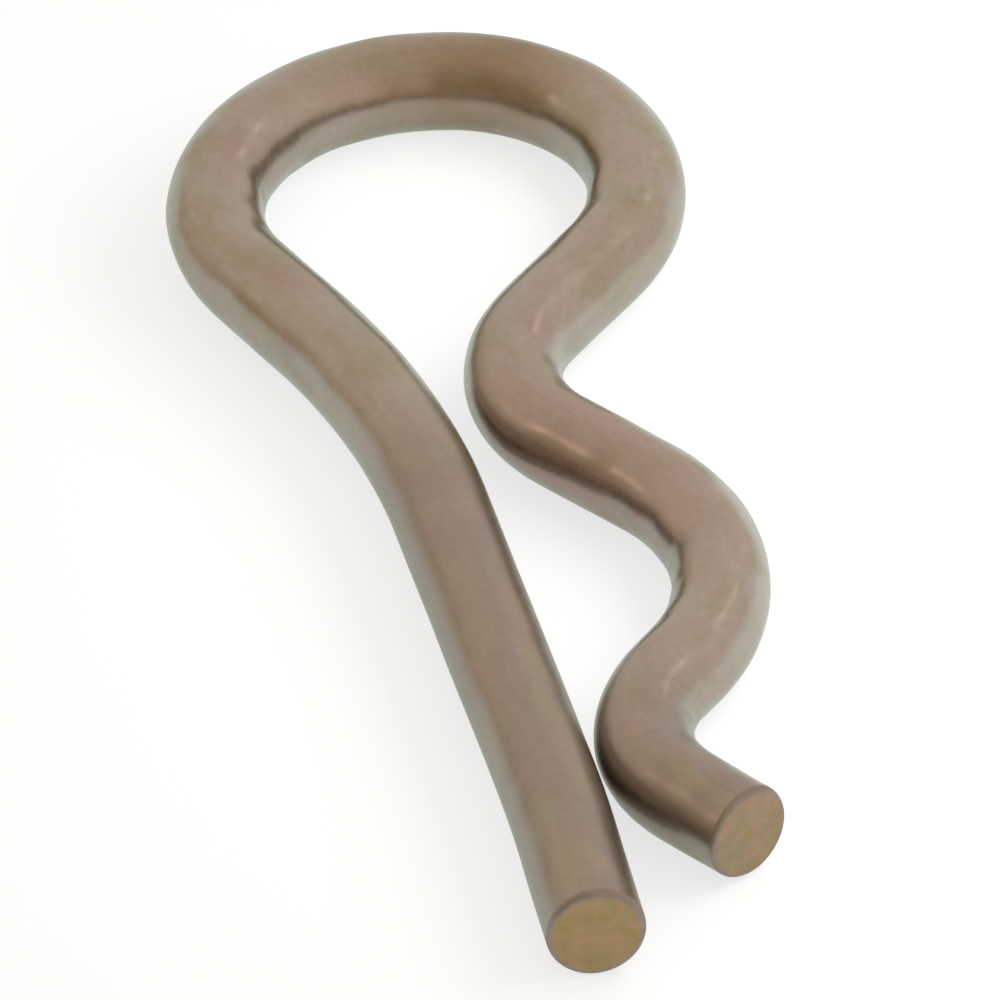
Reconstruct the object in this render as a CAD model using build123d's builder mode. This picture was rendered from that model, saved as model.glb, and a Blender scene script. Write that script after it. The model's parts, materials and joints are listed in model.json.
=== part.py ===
"""Spring cotter pin for a shaft with a cross hole, bent in one plane from a single length of round wire.

The straight leg lies along Y and goes through the cross hole. The wavy leg snaps over the outside of the shaft,
and the loop joins the two legs and is the spring. The origin is where the straight leg's axis crosses the shaft's
axis. X points from the straight leg to the wavy leg, Y to the loop, and Z along the shaft. Lengths are in
millimetres and angles in degrees.
"""

from build123d import *

import os
from math import atan2, cos, degrees, hypot, radians, sin, sqrt, tan

# Wire, and the rounding that shearing leaves on the rims of its two ends
wire_diameter = 2.5
rim_radius = 0.2

# Shaft that the clip holds, and how much narrower the relaxed seat in the wavy leg's outward bend is
shaft_diameter = 9.5
seat_grip = 0.1

# Straight leg, whose free end leans out a little from a slight bend below the shaft
toe_reach = 8.75
toe_radius = 60.0
toe_angle = 2.9
tip_run = 3.85

# Loop, the leg's sweep out to it, and the straight runs on both sides of it
loop_inner_diameter = 7.8
sweep_radius = 24.5
sweep_angle = 19.8
shoulder_run = 2.6
neck_run = 2.85

# Wavy leg, whose two inward bends come close to the straight leg: the second one all but touches it
bend_inner_radius = 2.6
throat_gap = 0.35
nip_gap = 0.05
upper_run = 3.0
lower_run = 0.7
flare_angle = 30.5
tail_run = 2.2

# Radii of the bends at the wire's centreline
wire_radius = wire_diameter / 2
seat_radius = (shaft_diameter - seat_grip) / 2 + wire_radius
bend_radius = bend_inner_radius + wire_radius
loop_radius = loop_inner_diameter / 2 + wire_radius


def leg_offset(gap):
    """Distance from the straight leg's axis to the centre of an inward bend that clears the leg by a gap."""
    return wire_diameter + gap + bend_radius


def spacing(first_radius, second_radius, run):
    """Distance between the centres of two opposite bends that are joined by a straight run."""
    return hypot(first_radius + second_radius, run)


def rise(distance, offset):
    """Distance along the straight leg between two centres, from their distance and their offset across it."""
    return sqrt(distance**2 - offset**2)


def bearing(start, end):
    """Angle from X of the line from one centre to another."""
    line = end - start
    return degrees(atan2(line.Y, line.X))


def run_lean(first_radius, second_radius, run):
    """Angle between the line through the centres of two opposite bends and the straight run that joins them."""
    return degrees(atan2(first_radius + second_radius, run))


# Centres of the seat and of the inward bends above and below it
seat = Vector(0, 0)
first_offset = leg_offset(throat_gap)
first_bend = Vector(first_offset, rise(spacing(seat_radius, bend_radius, upper_run), first_offset))
second_offset = leg_offset(nip_gap)
second_bend = Vector(second_offset, -rise(spacing(seat_radius, bend_radius, lower_run), second_offset))

# Centre of the loop, from the sweep on one side and the neck on the other
sweep_turn = radians(sweep_angle)
sweep_shift = sweep_radius * (1 - cos(sweep_turn))
loop_offset = loop_radius * cos(sweep_turn) - shoulder_run * sin(sweep_turn) - sweep_shift
loop_rise = rise(spacing(loop_radius, bend_radius, neck_run), first_offset - loop_offset)
loop = Vector(loop_offset, first_bend.Y + loop_rise)

# Straight leg, from the toe bend up to where the sweep starts
sweep_start = loop.Y - (loop_radius + sweep_radius) * sin(sweep_turn) - shoulder_run * cos(sweep_turn)
toe_tangent = toe_radius * tan(radians(toe_angle / 2))
leg_run = sweep_start + toe_reach - toe_tangent

# Headings of the straight runs, from the free end of the straight leg to the flared tail
leg_heading = 90
tip_heading = leg_heading - toe_angle
shoulder_heading = leg_heading + sweep_angle
neck_heading = bearing(loop, first_bend) - run_lean(loop_radius, bend_radius, neck_run)
upper_heading = bearing(first_bend, seat) + run_lean(bend_radius, seat_radius, upper_run)
lower_heading = bearing(seat, second_bend) - run_lean(seat_radius, bend_radius, lower_run)
tail_heading = flare_angle - leg_heading

# Each straight run along the wire with the bend that follows it: length, bend radius and turn to the left
runs_and_bends = [
    (tip_run, toe_radius, toe_angle),
    (leg_run, sweep_radius, sweep_angle),
    (shoulder_run, loop_radius, neck_heading - shoulder_heading),
    (neck_run, bend_radius, upper_heading - neck_heading),
    (upper_run, seat_radius, lower_heading - upper_heading),
    (lower_run, bend_radius, tail_heading - lower_heading),
]

# Centre of the straight leg's cut end
tip = Vector(0, -toe_reach) - Vector(toe_tangent + tip_run, 0).rotate(Axis.Z, tip_heading)

with BuildPart() as cotter_pin:
    with BuildLine() as centreline:
        end = tip
        direction = Vector(1, 0).rotate(Axis.Z, tip_heading)
        for run, radius, turn in runs_and_bends:
            straight = PolarLine(end, run, direction=direction)
            bend = JernArc(straight @ 1, straight % 1, radius, turn)
            end = bend @ 1
            direction = bend % 1
        PolarLine(end, tail_run, direction=direction)
    with BuildSketch(Plane(centreline.line ^ 0)):
        Circle(wire_radius)
    sweep()
    cut_ends = cotter_pin.faces().filter_by(GeomType.PLANE)
    fillet(cut_ends.edges(), rim_radius)

cotter_pin.part.label = "cotter_pin"
os.makedirs("parts", exist_ok=True)
export_step(cotter_pin.part, "parts/cotter_pin.step")
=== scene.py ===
"""Looks of a spring cotter pin: one length of plated round wire, bent in one plane, lying on a pale floor.

The wire lies in the XY plane with the straight leg along Y, the loop towards +Y and the wavy leg towards
+X. Lengths are in metres.
"""

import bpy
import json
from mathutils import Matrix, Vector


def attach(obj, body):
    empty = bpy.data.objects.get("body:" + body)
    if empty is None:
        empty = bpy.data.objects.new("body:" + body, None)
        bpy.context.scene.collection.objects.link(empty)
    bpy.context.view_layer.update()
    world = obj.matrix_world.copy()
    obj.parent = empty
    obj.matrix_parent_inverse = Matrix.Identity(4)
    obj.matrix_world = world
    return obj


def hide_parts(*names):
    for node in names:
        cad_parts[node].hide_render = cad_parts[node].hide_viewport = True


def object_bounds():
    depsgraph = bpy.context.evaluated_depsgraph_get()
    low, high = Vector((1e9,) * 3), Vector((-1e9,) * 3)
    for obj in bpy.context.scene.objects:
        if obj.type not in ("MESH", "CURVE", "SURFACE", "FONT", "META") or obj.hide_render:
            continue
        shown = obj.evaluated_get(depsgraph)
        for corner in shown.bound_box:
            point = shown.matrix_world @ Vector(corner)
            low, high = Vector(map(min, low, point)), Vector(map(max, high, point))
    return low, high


bl_info = {
    "name": "Spring Cotter Pin",
    "version": (1, 0, 0),
    "blender": (4, 5, 0),
    "location": "View3D > Sidebar > Cotter Pin",
    "description": "Bends a plated wire into a spring cotter pin and sets it on a studio floor",
    "category": "Add Mesh",
}

import json
from collections import namedtuple
from math import asin, atan2, ceil, cos, pi, radians, sin

import bmesh
import bpy
from mathutils import Matrix, Quaternion, Vector, noise

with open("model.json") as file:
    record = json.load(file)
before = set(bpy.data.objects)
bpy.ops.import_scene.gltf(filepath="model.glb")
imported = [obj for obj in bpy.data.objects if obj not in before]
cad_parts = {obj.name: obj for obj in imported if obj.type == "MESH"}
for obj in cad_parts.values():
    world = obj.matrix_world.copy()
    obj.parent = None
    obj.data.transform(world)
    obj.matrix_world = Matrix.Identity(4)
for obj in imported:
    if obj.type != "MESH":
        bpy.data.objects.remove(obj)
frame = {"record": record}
cad_low, cad_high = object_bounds()

NODE = "cotter_pin"
BODY = "root"
MM = 0.001
mounts = {mount["name"]: mount for mount in frame["record"]["mounts"]}
seat_mount = mounts["shaft_seat"]
loop_mount = mounts["pull_loop"]
tip_mount = mounts["leg_tip"]

# Bends of the wire, and the side that each turns to on the way from the straight leg's free end to the tail
Bend = namedtuple("Bend", "centre radius side")
LEFT = 1
RIGHT = -1

# Faces with more corners than this are the two ends of the wire
SIDE_CORNERS = 4

# Rings of faces in a sheared end, and steps in the rounding of its rim
SHEAR_RINGS = 6
RIM_STEPS = 6

# Points of the mesh that are closer than this are one point
WELD = 0.001 * MM

# Distance between the shallow hollows in the wire, its dents and the tears in its sheared faces
HOLLOW_SPACING = 3 * MM
DENT_SPACING = 1.2 * MM
TEAR_SPACING = 0.6 * MM

# Along the wire, where the marks of the bending tools start and where they are at their full depth
MARKS_START = 24 * MM
MARKS_FULL = 30 * MM

# Passivation's film along the wire, which is thick on the leg, at the loop's crown and at the tail
WIRE_LENGTH = 78 * MM
FilmStop = namedtuple("FilmStop", "place tone thickness")
FILM = (
    FilmStop(0, "bronze", 1.0),
    FilmStop(17.5 * MM, "bronze", 1.0),
    FilmStop(22.5 * MM, "plating", 0.15),
    FilmStop(36 * MM, "plating", 0.1),
    FilmStop(42 * MM, "straw", 0.9),
    FilmStop(46 * MM, "plating", 0.0),
    FilmStop(55 * MM, "plating", 0.05),
    FilmStop(60 * MM, "rose", 0.3),
    FilmStop(70 * MM, "plating", 0.15),
    FilmStop(74 * MM, "bronze", 0.7),
    FilmStop(WIRE_LENGTH, "bronze", 0.8),
)

# Clouds in the film: their size in millimetres, where they fade in and how much of the film they tint
Cloud = namedtuple("Cloud", "size distortion start full share")
ROSE_CLOUD = Cloud(size=1.3, distortion=0.0, start=0.45, full=0.7, share=0.75)
OLIVE_CLOUD = Cloud(size=1.1, distortion=0.4, start=0.48, full=0.68, share=0.7)
CLOUD_STRETCH = (1, 1, 0.45)

# Values that a noise texture mostly keeps between
NOISE_LOW = 0.3
NOISE_HIGH = 0.7

# Lines and grain of the drawn wire: sizes in millimetres, depths, and how much they darken and lighten it
DRAWN_LINE = 0.15
LINE_STRETCH = (1, 1, 0.03)
LINE_SHADE = 0.02
LINE_DEPTH = 0.0005 * MM
GRAIN = 0.25
GRAIN_SHADE = 0.04
GRAIN_DEPTH = 0.001 * MM

# Dark pits: their distance in millimetres, and their core and edge as shares of it
PIT_SPACING = 5
PIT_CORE = 0.012
PIT_EDGE = 0.03
PIT_SHARE = 0.5

# Dents that the reflections show: their size in millimetres, their depth and how strong they are on the leg
DENT_SIZE = 1.3
DENT_SHIFT = (14.8 * MM, 8.4 * MM, 0)
DENT_STRETCH = (1, 1, 0.9)
DENT_DEPTH = 0.16 * MM
LEG_DENTS = 0.35

# Roughness of the satin plating, what a thick film adds to it, and how far it is a metal under the film
SATIN_LOW = 0.21
SATIN_HIGH = 0.27
FILM_DULLING = 0.09
FILM_METALLIC = 0.87

# Sheared faces: sizes in millimetres, the ridges' depth and roughness, and where the brown rim fades in
SHEAR_CLOUD = 0.7
SHEAR_CLOUD_START = 0.4
SHEAR_CLOUD_FULL = 0.65
RIDGE = 0.3
RIDGE_DEPTH = 0.03 * MM
RIDGE_ROUGH_LOW = 0.42
RIDGE_ROUGH_HIGH = 0.58
RIM_START = 1.0 * MM
RIM_FULL = 1.14 * MM

# Soft lamps and layers of light in the room, with a lamp's angles in degrees
Lamp = namedtuple("Lamp", "turn rise spread tint")
Layer = namedtuple("Layer", "side start full tint")
UP = Vector((0, 0, 1))
WHITE = (1, 1, 1, 1)


def linear(hex_colour):
    """Turns an sRGB hex colour into linear red, green and blue."""
    levels = [int(hex_colour[i:i + 2], 16) / 255 for i in (1, 3, 5)]
    return [level / 12.92 if level <= 0.04045 else ((level + 0.055) / 1.055) ** 2.4 for level in levels]


def length_size(name, description, millimetres):
    """Property for a length with its default in millimetres."""
    return bpy.props.FloatProperty(
        name=name, description=description, default=millimetres * MM, unit="LENGTH", precision=5
    )


def angle_size(name, description, degrees):
    """Property for an angle with its default in degrees."""
    return bpy.props.FloatProperty(
        name=name, description=description, default=radians(degrees), unit="ROTATION"
    )


def share(name, description, value):
    """Property for a share of the whole."""
    return bpy.props.FloatProperty(
        name=name, description=description, default=value, subtype="FACTOR", min=0, max=1
    )


def colour(name, description, hex_colour):
    """Property for a colour with its default in sRGB hex."""
    return bpy.props.FloatVectorProperty(
        name=name, description=description, default=linear(hex_colour), subtype="COLOR", min=0, max=1
    )


class WireSizes(bpy.types.PropertyGroup):
    """Sizes of the wire and of its bends."""

    wire_radius: length_size("Wire radius", "Radius of the round wire", tip_mount["dims"]["r_mm"])
    rim_radius: length_size("Rim radius", "Rounding of the rims at the sheared ends", 0.2)
    toe_radius: length_size("Toe radius", "Radius of the slight bend near the straight leg's free end", 60)
    toe_end: length_size("Toe end", "Where the toe bend runs out into the straight leg", -7.231)
    sweep_start: length_size("Sweep start", "Where the straight leg starts to sweep out to the loop", 3.729)
    sweep_radius: length_size("Sweep radius", "Radius of the sweep from the leg to the loop", 24.5)
    loop_inner_radius: length_size(
        "Loop inner radius", "Inside radius of the loop", loop_mount["dims"]["r_mm"]
    )
    seat_inner_radius: length_size(
        "Seat inner radius", "Inside radius of the shaft seat", seat_mount["dims"]["r_mm"]
    )
    bend_inner_radius: length_size("Bend inner radius", "Inside radius of the wavy leg's inward bends", 2.6)
    throat_gap: length_size("Throat gap", "Gap between the legs at the upper inward bend", 0.35)
    throat_height: length_size(
        "Throat height", "From the seat's centre up to the upper inward bend's", 7.756
    )
    nip_gap: length_size("Nip gap", "Gap between the legs at the lower inward bend", 0.05)
    nip_depth: length_size("Nip depth", "From the seat's centre down to the lower inward bend's", 7.455)
    tail_run: length_size("Tail run", "Straight end of the wavy leg", 2.2)
    flare: angle_size("Flare", "How far the tail turns away from the straight leg", 30.5)
    clearance: length_size("Clearance", "How far the surface stays inside the measured wire", 0.006)
    unevenness: length_size(
        "Unevenness", "Depth of the shallow hollows that bending leaves along the wire", 0.035
    )
    dents: length_size("Dents", "Depth of the small dents from the bending tools", 0.04)
    tear: length_size("Tear", "Depth of the tears in the sheared faces", 0.02)


class FinishColours(bpy.types.PropertyGroup):
    """Colours of the plated wire and its sheared ends."""

    plating: colour("Plating", "Warm grey of the passivated plating where its film is thin", "#A99F93")
    bronze: colour("Bronze", "Browner grey of the plating where its film is thick", "#9A8E84")
    straw: colour("Straw", "Yellower brown of the film at the loop's crown", "#978570")
    rose: colour("Rose", "Patches where the passivation shines pinkish", "#A6948A")
    olive: colour("Olive", "Patches where the passivation shines olive", "#9D967F")
    glance: colour("Glance", "Cool tint of the passivation seen at a glancing angle", "#F1FFF9")
    pit: colour("Pit", "Dark specks where the plating is thin", "#6B5A47")
    cut: colour("Cut end", "Sheared face of the wire under the yellow passivation", "#AB8F6C")
    cut_olive: colour("Cut end olive", "Greener parts of the sheared face", "#A09066")


class StageSettings(bpy.types.PropertyGroup):
    """Camera, light and floor."""

    aim_x: length_size("Aim X", "Point that the camera looks at, across the legs", 1.4845)
    aim_y: length_size("Aim Y", "Point that the camera looks at, along the legs", 3.7403)
    distance: length_size("Distance", "From the camera to the point it looks at", 1110)
    view_width: length_size(
        "View width", "Width of the picture at the point that the camera looks at", 24.229
    )
    azimuth: angle_size("Azimuth", "Turn of the camera round the clip, from looking along Y", -10.7056)
    elevation: angle_size("Elevation", "Height of the camera above the floor", 36.1506)
    roll: angle_size("Roll", "Turn of the camera about its own line of sight", 3.9773)
    floor: colour("Floor", "Pale floor, cool enough to look neutral under the warm light", "#949BA1")
    floor_glow: share("Floor glow", "Light that tops the floor up to white for the camera", 0.72)
    mirrored_glow: share("Mirrored glow", "Light that tops up the floor where the metal mirrors it", 0.61)
    box_light: colour("Softbox light", "Colour of the long softbox on the right", "#FFF3E9")
    box_power: bpy.props.FloatProperty(
        name="Softbox power",
        description="Power of the long softbox",
        default=0.0057,
        unit="POWER",
        precision=4,
    )
    box_turn: angle_size("Softbox turn", "Turn of the softbox from the camera's side", 100)
    box_rise: angle_size("Softbox rise", "Height of the softbox above the floor", 43)
    box_distance: length_size(
        "Softbox distance", "From the point that the camera looks at to the softbox", 21
    )
    box_length: length_size("Softbox length", "Length of the softbox, along the legs", 44)
    box_width: length_size("Softbox width", "Width of the softbox", 12)
    back_light: colour("Back light", "Broad soft light from behind the clip", "#EDE1DB")
    side_light: colour("Side light", "Soft light from the sides and the front", "#EFE1D3")
    low_wall: colour("Low wall", "Dimmer foot of the walls", "#CEB8A1")
    ceiling: colour("Ceiling", "Dimmer light from above", "#E2D4C5")
    dark_side: colour("Dark side", "Unlit side of the room, to the left in front of the clip", "#B6A68A")
    back_turn: angle_size("Back turn", "Turn of the light from behind, from the camera's side", 140)
    dark_turn: angle_size("Dark turn", "Turn of the unlit side from the camera's side", -48)
    dark_rise: angle_size("Dark rise", "Height of the unlit side above the floor", 10)


def add_node(tree, kind, inputs=None, **settings):
    """Adds a node with its settings, and gives its inputs their values or links."""
    node = tree.nodes.new(kind)
    for name, value in settings.items():
        setattr(node, name, value)
    for socket, value in (inputs or {}).items():
        if isinstance(value, bpy.types.NodeSocket):
            tree.links.new(value, node.inputs[socket])
        else:
            node.inputs[socket].default_value = value
    return node


def new_material(name):
    """Empty material with its output node."""
    material = bpy.data.materials.new(name)
    material.use_nodes = True
    material.node_tree.nodes.clear()
    output = add_node(material.node_tree, "ShaderNodeOutputMaterial")
    return material, material.node_tree, output.inputs["Surface"]


def per(millimetres):
    """Texture scale whose pattern repeats about once in so many millimetres."""
    return 1 / (millimetres * MM)


def passivation_film(tree, wire, along, colours):
    """Tint and thickness of the film, browner where it is thicker, with clouds of rose and olive."""
    place = add_node(tree, "ShaderNodeMapRange", {"Value": along, "From Max": WIRE_LENGTH})
    film = add_node(tree, "ShaderNodeValToRGB", {"Fac": place.outputs[0]})
    stops = film.color_ramp.elements
    while len(stops) < len(FILM):
        stops.new(1)
    for stop, given in zip(stops, FILM):
        stop.position = given.place / WIRE_LENGTH
        stop.color = (*getattr(colours, given.tone), given.thickness)
    film.color_ramp.interpolation = "EASE"

    # Clouds that are longer along the wire than across it
    clouded = add_node(tree, "ShaderNodeMapping", {"Vector": wire, "Scale": CLOUD_STRETCH}).outputs[0]
    tint = film.outputs["Color"]
    for cloud, tone in ((ROSE_CLOUD, colours.rose), (OLIVE_CLOUD, colours.olive)):
        pattern = add_node(
            tree,
            "ShaderNodeTexNoise",
            {"Vector": clouded, "Scale": per(cloud.size), "Detail": 3.0, "Distortion": cloud.distortion},
        )
        cover = add_node(
            tree,
            "ShaderNodeMapRange",
            {
                "Value": pattern.outputs[0],
                "From Min": cloud.start,
                "From Max": cloud.full,
                "To Max": cloud.share,
            },
            interpolation_type="SMOOTHSTEP",
        )
        mixed = add_node(
            tree,
            "ShaderNodeMix",
            {"Factor": cover.outputs[0], "A": tint, "B": (*tone, 1)},
            data_type="RGBA",
        )
        tint = mixed.outputs["Result"]
    return tint, film.outputs["Alpha"]


def passivated_zinc(colours):
    """Zinc plate with a yellow passivation, on drawn spring wire.

    The eye sees a satin, brownish grey metal whose creases stay light, because the passivation scatters
    some of the light. The film drifts between rose and olive, the drawing die has left faint lines along
    the wire, and bending has left shallow dents that break up the reflections.
    """
    material, tree, surface = new_material("yellow_passivated_zinc")
    wire = add_node(tree, "ShaderNodeAttribute", attribute_name="straight_wire").outputs["Vector"]
    along = add_node(tree, "ShaderNodeSeparateXYZ", {"Vector": wire}).outputs["Z"]
    tint, thickness = passivation_film(tree, wire, along, colours)

    # Lines from the drawing die and fine grain, both drawn coarser than the real ones so that they show
    drawn = add_node(tree, "ShaderNodeMapping", {"Vector": wire, "Scale": LINE_STRETCH}).outputs[0]
    lines = add_node(tree, "ShaderNodeTexNoise", {"Vector": drawn, "Scale": per(DRAWN_LINE), "Detail": 2.0})
    grain = add_node(tree, "ShaderNodeTexNoise", {"Vector": wire, "Scale": per(GRAIN), "Detail": 1.0})
    shades = []
    for pattern, strength in ((lines, LINE_SHADE), (grain, GRAIN_SHADE)):
        shade = add_node(
            tree,
            "ShaderNodeMapRange",
            {
                "Value": pattern.outputs[0],
                "From Min": NOISE_LOW,
                "From Max": NOISE_HIGH,
                "To Min": 1 - strength,
                "To Max": 1 + strength,
            },
        )
        shades.append(shade.outputs[0])
    shade = add_node(tree, "ShaderNodeMath", {0: shades[0], 1: shades[1]}, operation="MULTIPLY")
    shaded = add_node(
        tree, "ShaderNodeVectorMath", {0: tint, "Scale": shade.outputs[0]}, operation="SCALE"
    )

    # Small dark pits, far apart
    cells = add_node(tree, "ShaderNodeTexVoronoi", {"Vector": wire, "Scale": per(PIT_SPACING)})
    pits = add_node(
        tree,
        "ShaderNodeMapRange",
        {
            "Value": cells.outputs["Distance"],
            "From Min": PIT_CORE,
            "From Max": PIT_EDGE,
            "To Min": PIT_SHARE,
            "To Max": 0.0,
        },
    )
    pitted = add_node(
        tree,
        "ShaderNodeMix",
        {"Factor": pits.outputs[0], "A": shaded.outputs[0], "B": (*colours.pit, 1)},
        data_type="RGBA",
    )

    # Satin gloss that varies with the grain, and is duller under a thick film
    satin = add_node(
        tree,
        "ShaderNodeMapRange",
        {
            "Value": grain.outputs[0],
            "From Min": NOISE_LOW,
            "From Max": NOISE_HIGH,
            "To Min": SATIN_LOW,
            "To Max": SATIN_HIGH,
        },
    )
    dulled = add_node(
        tree,
        "ShaderNodeMath",
        {0: thickness, 1: FILM_DULLING, 2: satin.outputs[0]},
        operation="MULTIPLY_ADD",
    )

    # Shallow dents, fainter on the straight leg, with the lines and the grain on top
    dented = add_node(
        tree, "ShaderNodeMapping", {"Vector": wire, "Location": DENT_SHIFT, "Scale": DENT_STRETCH}
    ).outputs[0]
    waves = add_node(tree, "ShaderNodeTexNoise", {"Vector": dented, "Scale": per(DENT_SIZE), "Detail": 0.0})
    level = add_node(tree, "ShaderNodeMath", {0: waves.outputs[0], 1: 0.5}, operation="SUBTRACT")
    marks = add_node(
        tree,
        "ShaderNodeMapRange",
        {"Value": along, "From Min": MARKS_START, "From Max": MARKS_FULL, "To Min": LEG_DENTS},
    )
    dents = add_node(
        tree, "ShaderNodeMath", {0: level.outputs[0], 1: marks.outputs[0]}, operation="MULTIPLY"
    )
    relief = add_node(tree, "ShaderNodeBump", {"Distance": DENT_DEPTH, "Height": dents.outputs[0]})
    for pattern, depth in ((lines, LINE_DEPTH), (grain, GRAIN_DEPTH)):
        relief = add_node(
            tree,
            "ShaderNodeBump",
            {"Distance": depth, "Height": pattern.outputs[0], "Normal": relief.outputs[0]},
        )

    shader = add_node(
        tree,
        "ShaderNodeBsdfPrincipled",
        {
            "Base Color": pitted.outputs["Result"],
            "Specular Tint": (*colours.glance, 1),
            "Metallic": FILM_METALLIC,
            "Roughness": dulled.outputs[0],
            "Normal": relief.outputs[0],
        },
    )
    tree.links.new(shader.outputs[0], surface)
    return material


def sheared_steel(colours):
    """Sheared face of spring steel under the yellow passivation.

    The eye sees a flat, duller olive yellow than the drawn sides, with the fine ridges that the shear has
    torn and a browner rim.
    """
    material, tree, surface = new_material("sheared_passivated_steel")
    place = add_node(tree, "ShaderNodeTexCoord").outputs["Object"]
    cloud = add_node(
        tree, "ShaderNodeTexNoise", {"Vector": place, "Scale": per(SHEAR_CLOUD), "Detail": 2.5}
    )
    olive = add_node(
        tree,
        "ShaderNodeMapRange",
        {"Value": cloud.outputs[0], "From Min": SHEAR_CLOUD_START, "From Max": SHEAR_CLOUD_FULL},
        interpolation_type="SMOOTHSTEP",
    )
    tinted = add_node(
        tree,
        "ShaderNodeMix",
        {"Factor": olive.outputs[0], "A": (*colours.cut, 1), "B": (*colours.cut_olive, 1)},
        data_type="RGBA",
    )

    # Rims that the shear has left in the plating's brown
    wire = add_node(tree, "ShaderNodeAttribute", attribute_name="straight_wire").outputs["Vector"]
    across = add_node(tree, "ShaderNodeMapping", {"Vector": wire, "Scale": (1, 1, 0)}).outputs[0]
    radius = add_node(tree, "ShaderNodeVectorMath", {0: across}, operation="LENGTH").outputs["Value"]
    rim = add_node(
        tree,
        "ShaderNodeMapRange",
        {"Value": radius, "From Min": RIM_START, "From Max": RIM_FULL},
        interpolation_type="SMOOTHSTEP",
    )
    rimmed = add_node(
        tree,
        "ShaderNodeMix",
        {"Factor": rim.outputs[0], "A": tinted.outputs["Result"], "B": (*colours.bronze, 1)},
        data_type="RGBA",
    )

    # Fine ridges
    ridges = add_node(tree, "ShaderNodeTexNoise", {"Vector": place, "Scale": per(RIDGE), "Detail": 3.0})
    rough = add_node(
        tree,
        "ShaderNodeMapRange",
        {
            "Value": ridges.outputs[0],
            "From Min": NOISE_LOW,
            "From Max": NOISE_HIGH,
            "To Min": RIDGE_ROUGH_LOW,
            "To Max": RIDGE_ROUGH_HIGH,
        },
    )
    relief = add_node(tree, "ShaderNodeBump", {"Distance": RIDGE_DEPTH, "Height": ridges.outputs[0]})
    shader = add_node(
        tree,
        "ShaderNodeBsdfPrincipled",
        {
            "Base Color": rimmed.outputs["Result"],
            "Metallic": 1.0,
            "Roughness": rough.outputs[0],
            "Normal": relief.outputs[0],
        },
    )
    tree.links.new(shader.outputs[0], surface)
    return material


def pale_floor(stage):
    """Matt pale board that is topped up to white, and that keeps the soft shadow of the clip."""
    material, tree, surface = new_material("pale_matt_board")
    path = add_node(tree, "ShaderNodeLightPath")
    mirrored = add_node(
        tree,
        "ShaderNodeMath",
        {0: path.outputs["Is Glossy Ray"], 1: path.outputs["Is Transmission Ray"]},
        operation="MAXIMUM",
    )
    dimmed = add_node(
        tree, "ShaderNodeMath", {0: mirrored.outputs[0], 1: stage.mirrored_glow}, operation="MULTIPLY"
    )
    top_up = add_node(
        tree,
        "ShaderNodeMath",
        {0: path.outputs["Is Camera Ray"], 1: stage.floor_glow, 2: dimmed.outputs[0]},
        operation="MULTIPLY_ADD",
    )
    matt = add_node(tree, "ShaderNodeBsdfDiffuse", {"Color": (*stage.floor, 1)})
    glow = add_node(tree, "ShaderNodeEmission", {"Strength": top_up.outputs[0]})
    both = add_node(tree, "ShaderNodeAddShader", {0: matt.outputs[0], 1: glow.outputs[0]})
    tree.links.new(both.outputs[0], surface)
    return material


def wire_bends(sizes):
    """Bends of the wire's centreline, from the straight leg's free end to the tail."""
    across = 2 * sizes.wire_radius
    inward_radius = sizes.bend_inner_radius + sizes.wire_radius
    throat = Vector((across + sizes.throat_gap + inward_radius, sizes.throat_height, 0))
    nip = Vector((across + sizes.nip_gap + inward_radius, -sizes.nip_depth, 0))
    return [
        Bend(Vector((-sizes.toe_radius, sizes.toe_end, 0)), sizes.toe_radius, LEFT),
        Bend(Vector((-sizes.sweep_radius, sizes.sweep_start, 0)), sizes.sweep_radius, LEFT),
        Bend(Vector(loop_mount["pos_m"]), sizes.loop_inner_radius + sizes.wire_radius, RIGHT),
        Bend(throat, inward_radius, LEFT),
        Bend(Vector(seat_mount["pos_m"]), sizes.seat_inner_radius + sizes.wire_radius, RIGHT),
        Bend(nip, inward_radius, LEFT),
    ]


def run_heading(first, second):
    """Heading of the straight run that leaves one bend and meets the next, tangent to both."""
    line = second.centre - first.centre
    lean = asin((first.side * first.radius - second.side * second.radius) / line.length)
    return atan2(line.y, line.x) + lean


def point_at(bend, heading):
    """Point of a bend's centreline where the wire has a heading."""
    return bend.centre + bend.side * bend.radius * Vector((sin(heading), -cos(heading), 0))


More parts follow.
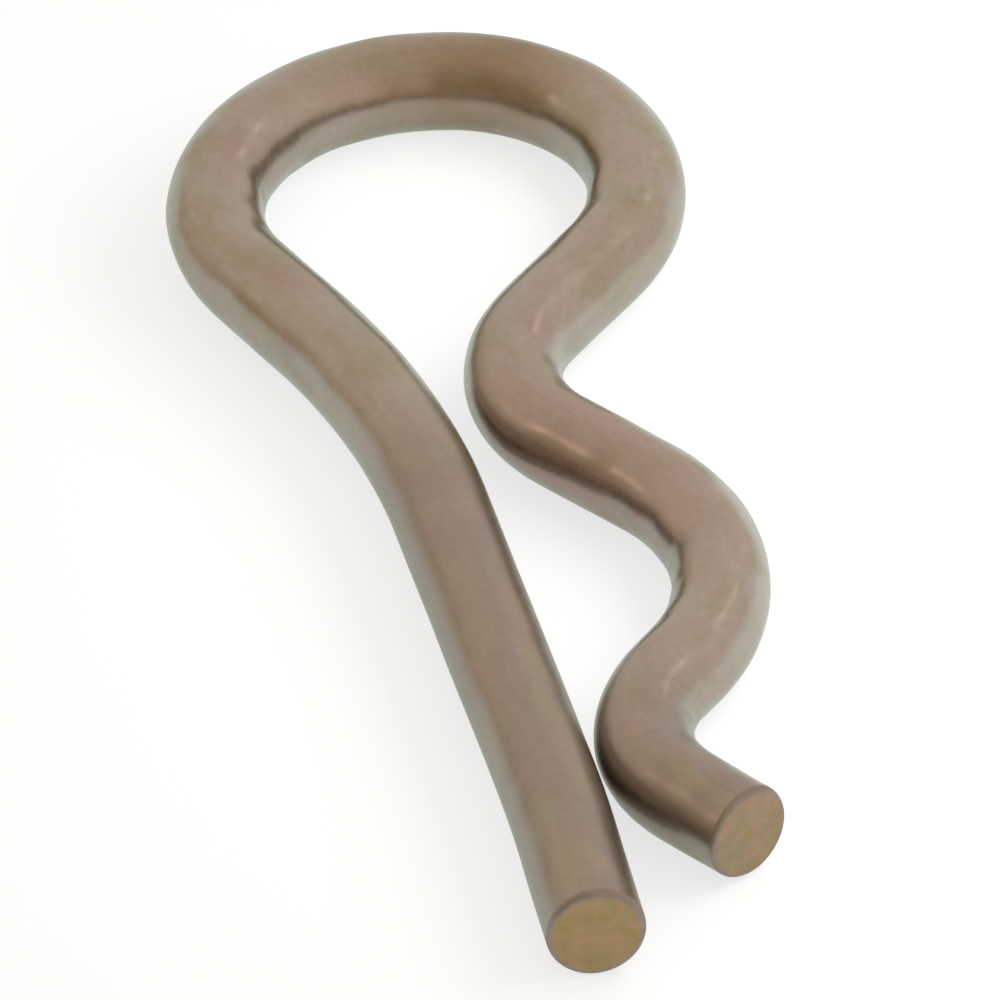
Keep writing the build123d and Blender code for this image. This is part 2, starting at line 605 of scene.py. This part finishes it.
class WireBender:
    """Draws a ring of edges along runs and bends, and notes where each point lay on the straight wire."""

    # Points round the wire, and the longest step along it, which has to be longer than the rim's rounding
    ROUND = 64
    STEP = 0.24 * MM

    def __init__(self, radius, start, heading):
        self.mesh = bmesh.new()
        self.straight_wire = self.mesh.verts.layers.float_vector.new("straight_wire")
        section = bmesh.ops.create_circle(
            self.mesh, cap_ends=True, radius=radius, segments=self.ROUND
        )["verts"]
        for vert in section:
            vert[self.straight_wire] = vert.co
        forward = Vector((cos(heading), sin(heading), 0))
        self.pose = Matrix.Translation(start) @ forward.to_track_quat("Z", "Y").to_matrix().to_4x4()
        bmesh.ops.transform(self.mesh, matrix=self.pose, verts=section)
        self.ring = self.mesh.edges[:]
        self.length = 0.0

    def move_on(self, made, move, step):
        """Takes over a new ring, and notes how far the section has moved."""
        verts = [item for item in made if isinstance(item, bmesh.types.BMVert)]
        for vert in verts:
            vert[self.straight_wire] = vert[self.straight_wire] + Vector((0, 0, step))
        edges = [item for item in made if isinstance(item, bmesh.types.BMEdge)]
        self.ring = [edge for edge in edges if all(vert in verts for vert in edge.verts)]
        self.pose = move @ self.pose
        self.length += step
        return verts

    def run_to(self, point):
        """Extrudes the wire straight to a point."""
        line = point - self.pose.translation
        steps = ceil(line.length / self.STEP)
        for _ in range(steps):
            made = bmesh.ops.extrude_edge_only(self.mesh, edges=self.ring)["geom"]
            verts = self.move_on(made, Matrix.Translation(line / steps), line.length / steps)
            bmesh.ops.translate(self.mesh, verts=verts, vec=line / steps)

    def bend_round(self, bend, turn):
        """Spins the wire round a bend's centre."""
        length = abs(turn) * bend.radius
        steps = ceil(length / self.STEP)
        centre = Matrix.Translation(bend.centre)
        move = centre @ Matrix.Rotation(turn / steps, 4, "Z") @ centre.inverted()
        for _ in range(steps):
            made = bmesh.ops.spin(
                self.mesh, geom=self.ring, cent=bend.centre, axis=UP, angle=turn / steps, steps=1
            )["geom_last"]
            self.move_on(made, move, length / steps)


def bend_wire(sizes):
    """Bends the wire from the straight leg's free end to the tail, and returns it with both ends' poses."""
    outward = Vector(tip_mount["axis"])
    tip_reach = tip_mount["dims"]["length_mm"] * MM / 2 + sizes.rim_radius
    tip = Vector(tip_mount["pos_m"]) + outward * tip_reach
    heading = atan2(-outward.y, -outward.x)
    bends = wire_bends(sizes)
    headings = [run_heading(first, second) for first, second in zip(bends, bends[1:])]
    headings.append(sizes.flare - pi / 2)
    bender = WireBender(sizes.wire_radius, tip, heading)
    end_poses = [bender.pose]
    for bend, next_heading in zip(bends, headings):
        bender.run_to(point_at(bend, heading))
        bender.bend_round(bend, bend.side * (bend.side * (next_heading - heading) % (2 * pi)))
        heading = next_heading
    tail = sizes.tail_run * Vector((cos(heading), sin(heading), 0))
    bender.run_to(bender.pose.translation + tail)
    bmesh.ops.contextual_create(bender.mesh, geom=bender.ring)
    end_poses.append(bender.pose @ Matrix.Translation((0, 0, -bender.length)))
    return bender, end_poses


def shear_ends(mesh, sizes):
    """Rounds the rims of both ends, and divides the sheared faces into rings."""
    caps = [face for face in mesh.faces if len(face.verts) > SIDE_CORNERS]
    rims = bmesh.ops.bevel(
        mesh,
        geom=[edge for cap in caps for edge in cap.edges],
        offset=sizes.rim_radius,
        segments=RIM_STEPS,
        profile=0.5,
        affect="EDGES",
        material=-1,
    )["faces"]
    caps = [face for face in mesh.faces if len(face.verts) > SIDE_CORNERS]
    for face in rims + caps:
        face.material_index = 1
    ring_width = (sizes.wire_radius - sizes.rim_radius) / (SHEAR_RINGS + 1)
    for _ in range(SHEAR_RINGS):
        bmesh.ops.inset_individual(mesh, faces=caps, thickness=ring_width, use_even_offset=True)
    bmesh.ops.poke(mesh, faces=caps)


def note_ends(bender, end_poses, sizes):
    """Notes where the points of the rims and the sheared faces lay on the straight wire."""
    reach = 2 * sizes.wire_radius
    for pose in end_poses:
        to_straight = pose.inverted()
        ends = [vert for vert in bender.mesh.verts if (vert.co - pose.translation).length < reach]
        for vert in ends:
            vert[bender.straight_wire] = to_straight @ vert.co


def wear_surface(bender, sizes):
    """Sinks shallow hollows into the wire, dents its bends, and roughens the sheared faces."""
    bender.mesh.normal_update()
    flat_radius = sizes.wire_radius - sizes.rim_radius
    moves = {}
    for vert in bender.mesh.verts:
        place = vert[bender.straight_wire]
        hollow = noise.noise(place / HOLLOW_SPACING, noise_basis="PERLIN_ORIGINAL")
        dent = noise.noise(place / DENT_SPACING, noise_basis="PERLIN_ORIGINAL")
        depth = sizes.clearance + sizes.unevenness * (1 + hollow) / 2
        marks = min(1, max(0, (place.z - MARKS_START) / (MARKS_FULL - MARKS_START)))
        depth += marks * sizes.dents * (1 + dent) / 2
        inside_rim = 1 - place.xy.length / flat_radius
        if inside_rim > 0:
            tear = noise.noise(vert.co / TEAR_SPACING, noise_basis="PERLIN_ORIGINAL")
            depth += inside_rim * sizes.tear * (1 + tear)
        moves[vert] = -depth * vert.normal
    for vert, move in moves.items():
        vert.co += move


class COTTERPIN_OT_bend_wire(bpy.types.Operator):
    """Bend the plated wire and shear its ends"""

    bl_idname = "cotter_pin.bend_wire"
    bl_label = "Bend Wire"

    def execute(self, context):
        sizes = context.scene.cotter_wire
        colours = context.scene.cotter_finish
        bender, end_poses = bend_wire(sizes)
        mesh = bender.mesh
        shear_ends(mesh, sizes)
        bmesh.ops.remove_doubles(mesh, verts=mesh.verts[:], dist=WELD)
        bmesh.ops.recalc_face_normals(mesh, faces=mesh.faces[:])
        note_ends(bender, end_poses, sizes)
        wear_surface(bender, sizes)
        data = bpy.data.meshes.new("bent_wire")
        mesh.to_mesh(data)
        mesh.free()
        data.materials.append(passivated_zinc(colours))
        data.materials.append(sheared_steel(colours))
        data.shade_smooth()
        wire = bpy.data.objects.new("bent_wire", data)
        context.scene.collection.objects.link(wire)
        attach(wire, BODY)
        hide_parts(NODE)
        return {"FINISHED"}


def towards(turn, rise):
    """Direction from the clip, from its turn round the clip and its height above the floor."""
    return Vector((sin(turn) * cos(rise), -cos(turn) * cos(rise), sin(rise)))


class COTTERPIN_OT_set_stage(bpy.types.Operator):
    """Lay the floor, light the room and place the camera"""

    bl_idname = "cotter_pin.set_stage"
    bl_label = "Set Stage"

    FLOOR_RADIUS = 2.5
    FLOOR_CORNERS = 96

    # Small soft lamps: turn from the camera's side, height, half their width, and colour
    LAMPS = (
        Lamp(turn=-98, rise=34, spread=8, tint=(1.8, 1.44, 1.18)),
        Lamp(turn=135, rise=31, spread=6, tint=(1.65, 1.54, 1.46)),
    )

    # How many times smaller the full middle of a lamp is than the whole lamp
    LAMP_FADE = 3

    # Heights between which the white horizon goes over into the room
    HORIZON_LOW = 0.015
    HORIZON_HIGH = 0.03

    def execute(self, context):
        stage = context.scene.cotter_stage
        self.lay_floor(context.scene, stage)
        self.light_room(context.scene, stage)
        self.light_floor(context.scene, stage)
        self.place_camera(context.scene, stage)
        context.scene.view_settings.view_transform = "Standard"
        return {"FINISHED"}

    def lay_floor(self, scene, stage):
        """Wide round board that the clip lies on."""
        mesh = bmesh.new()
        bmesh.ops.create_circle(
            mesh, cap_ends=True, radius=self.FLOOR_RADIUS, segments=self.FLOOR_CORNERS
        )
        bmesh.ops.translate(mesh, verts=mesh.verts[:], vec=(0, 0, cad_low.z))
        data = bpy.data.meshes.new("floor")
        mesh.to_mesh(data)
        mesh.free()
        data.materials.append(pale_floor(stage))
        floor = bpy.data.objects.new("floor", data)
        scene.collection.objects.link(floor)

    def room_layers(self, stage):
        """Layers over the walls' foot: side, cosines to it where they start and are full, and tint."""
        back = towards(stage.azimuth + stage.back_turn, 0)
        dark = towards(stage.azimuth + stage.dark_turn, stage.dark_rise)
        layers = [
            Layer(UP, 0.05, 0.4, stage.side_light),
            Layer(back, 0.1, 0.6, stage.back_light),
            Layer(UP, 0.6, 1.0, stage.ceiling),
            Layer(dark, 0.25, 0.98, stage.dark_side),
        ]
        for lamp in self.LAMPS:
            side = towards(stage.azimuth + radians(lamp.turn), radians(lamp.rise))
            start = cos(radians(lamp.spread))
            full = cos(radians(lamp.spread / self.LAMP_FADE))
            layers.append(Layer(side, start, full, lamp.tint))
        return layers

    def light_room(self, scene, stage):
        """Soft room round the clip, in layers of light from the walls' foot up."""
        world = bpy.data.worlds.new("soft_studio")
        world.use_nodes = True
        tree = world.node_tree
        tree.nodes.clear()
        direction = add_node(tree, "ShaderNodeTexCoord").outputs["Generated"]
        room = (*stage.low_wall, 1)
        for layer in self.room_layers(stage):
            facing = add_node(
                tree, "ShaderNodeVectorMath", {0: direction, 1: layer.side}, operation="DOT_PRODUCT"
            )
            cover = add_node(
                tree,
                "ShaderNodeMapRange",
                {"Value": facing.outputs["Value"], "From Min": layer.start, "From Max": layer.full},
                interpolation_type="SMOOTHSTEP",
            )
            lit = add_node(
                tree,
                "ShaderNodeMix",
                {"Factor": cover.outputs[0], "A": room, "B": (*layer.tint, 1)},
                data_type="RGBA",
            )
            room = lit.outputs["Result"]
        height = add_node(tree, "ShaderNodeSeparateXYZ", {"Vector": direction}).outputs["Z"]
        above = add_node(
            tree,
            "ShaderNodeMapRange",
            {"Value": height, "From Min": self.HORIZON_LOW, "From Max": self.HORIZON_HIGH},
        )
        whole = add_node(
            tree, "ShaderNodeMix", {"Factor": above.outputs[0], "A": WHITE, "B": room}, data_type="RGBA"
        )
        light = add_node(tree, "ShaderNodeBackground", {"Color": whole.outputs["Result"]})
        add_node(tree, "ShaderNodeOutputWorld", {"Surface": light.outputs[0]})
        scene.world = world

    def light_floor(self, scene, stage):
        """Long softbox that shades the floor and stays out of the metal's reflections."""
        data = bpy.data.lights.new("softbox", "AREA")
        data.shape = "RECTANGLE"
        data.size = stage.box_length
        data.size_y = stage.box_width
        data.color = stage.box_light
        data.energy = stage.box_power
        softbox = bpy.data.objects.new("softbox", data)
        side = towards(stage.azimuth + stage.box_turn, stage.box_rise)
        softbox.location = Vector((stage.aim_x, stage.aim_y, 0)) + side * stage.box_distance
        softbox.rotation_mode = "QUATERNION"
        softbox.rotation_quaternion = side.to_track_quat("Z", "Y")
        softbox.visible_camera = False
        softbox.visible_glossy = False
        scene.collection.objects.link(softbox)

    def place_camera(self, scene, stage):
        """Distant camera that looks down on the clip."""
        data = bpy.data.cameras.new("camera")
        data.lens = data.sensor_width * stage.distance / stage.view_width
        camera = bpy.data.objects.new("camera", data)
        back = towards(stage.azimuth, stage.elevation)
        roll = Quaternion(UP, -stage.roll)
        camera.rotation_mode = "QUATERNION"
        camera.rotation_quaternion = (-back).to_track_quat("-Z", "Y") @ roll
        camera.location = Vector((stage.aim_x, stage.aim_y, 0)) + back * stage.distance
        scene.collection.objects.link(camera)
        scene.camera = camera


class COTTERPIN_PT_sidebar(bpy.types.Panel):
    """Lists the sizes, colours and steps of the cotter pin"""

    bl_label = "Cotter Pin"
    bl_space_type = "VIEW_3D"
    bl_region_type = "UI"
    bl_category = "Cotter Pin"

    def draw(self, context):
        scene = context.scene
        for group in (scene.cotter_wire, scene.cotter_finish, scene.cotter_stage):
            column = self.layout.column(align=True)
            for name in group.__annotations__:
                column.prop(group, name)
        self.layout.operator(COTTERPIN_OT_bend_wire.bl_idname)
        self.layout.operator(COTTERPIN_OT_set_stage.bl_idname)


CLASSES = (
    WireSizes,
    FinishColours,
    StageSettings,
    COTTERPIN_OT_bend_wire,
    COTTERPIN_OT_set_stage,
    COTTERPIN_PT_sidebar,
)


def register():
    for cls in CLASSES:
        bpy.utils.register_class(cls)
    bpy.types.Scene.cotter_wire = bpy.props.PointerProperty(type=WireSizes)
    bpy.types.Scene.cotter_finish = bpy.props.PointerProperty(type=FinishColours)
    bpy.types.Scene.cotter_stage = bpy.props.PointerProperty(type=StageSettings)


def unregister():
    del bpy.types.Scene.cotter_stage
    del bpy.types.Scene.cotter_finish
    del bpy.types.Scene.cotter_wire
    for cls in reversed(CLASSES):
        bpy.utils.unregister_class(cls)


def main():
    register()
    bpy.ops.cotter_pin.bend_wire()
    bpy.ops.cotter_pin.set_stage()


if __name__ == "__main__":
    main()
